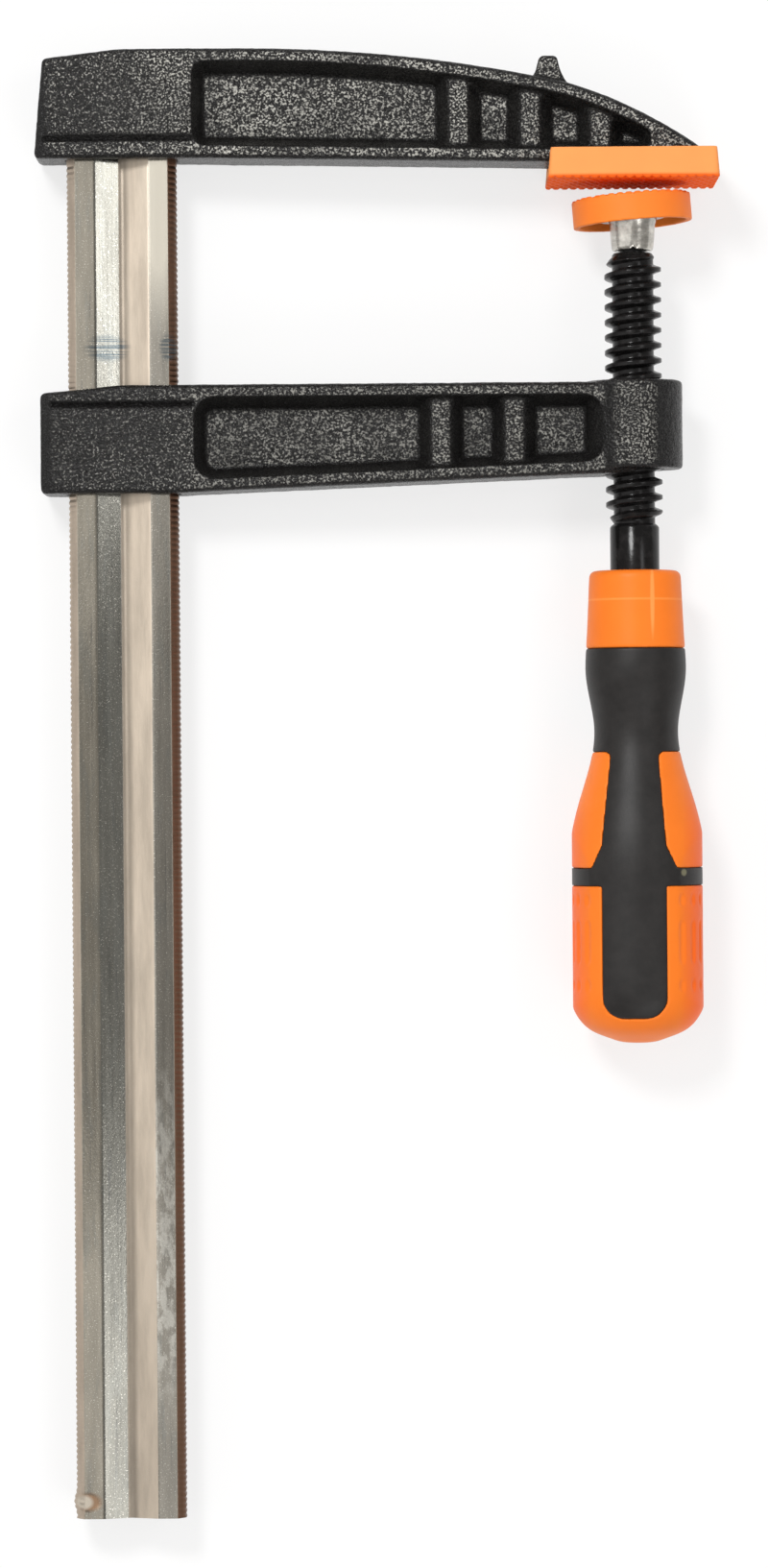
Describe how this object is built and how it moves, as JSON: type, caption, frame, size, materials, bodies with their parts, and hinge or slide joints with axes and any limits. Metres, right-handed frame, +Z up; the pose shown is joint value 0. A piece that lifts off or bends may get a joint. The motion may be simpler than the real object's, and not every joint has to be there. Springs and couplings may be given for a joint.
{
  "type": "woodworking screw clamp",
  "caption": "F-shaped woodworking clamp: toothed steel rail, cast fixed and sliding arms, threaded spindle with a swivelling padded pressure plate and a two-tone turning handle.",
  "frame": {"origin": "middle of the fixed jaw pad's clamping face, on the spindle's axis", "axes": "the clamp lies on its side: +X from the rail towards the spindle, +Y along the rail towards the fixed arm, +Z up out of the arms' flat sides"},
  "size_m": [0.1797, 0.386, 0.0364],
  "materials": {
    "rail_steel": "zinc plated, drawn",
    "cast_black": "black lacquer on rough casting",
    "orange_plastic": "satin",
    "grip_rubber": "satin soft-touch",
    "spindle_black": "black oxide, oiled",
    "socket_zinc": "zinc plated",
    "plate_steel": "zinc plated"
  },
  "bodies": {
    "rail": {"rail": "rail_steel", "fixed_arm": "cast_black", "fixed_jaw_pad": "orange_plastic"},
    "sliding_arm": {"sliding_arm": "cast_black"},
    "swivel": {"swivel_socket": "socket_zinc"},
    "spindle": {"spindle": "spindle_black", "handle_core": "orange_plastic", "handle_grip": "grip_rubber"},
    "pressure_pad": {"pressure_plate": "plate_steel", "pressure_cap": "orange_plastic"}
  },
  "joints": [
    {"name": "arm_slide", "type": "slide", "parent": "rail", "child": "sliding_arm", "axis": [0, 1, 0], "range_m": [-0.261, 0]},
    {"name": "spindle_feed", "type": "slide", "parent": "sliding_arm", "child": "swivel", "axis": [0, 1, 0], "range_m": [-0.0325, 0]},
    {"name": "spindle_turn", "type": "hinge", "parent": "swivel", "child": "spindle", "pos_m": [0, -0.06, 0], "axis": [0, 1, 0], "range_deg": [-2880, 0]},
    {"name": "pad_tilt", "type": "hinge", "parent": "swivel", "child": "pressure_pad", "pos_m": [0, -0.00835, 0], "axis": [0, 0, 1], "range_deg": [-14.5, 5.5]}
  ],
  "couplings": [
    {"joint": "spindle_feed", "follows": "spindle_turn", "m_per_rad": 0.00063662}
  ]
}
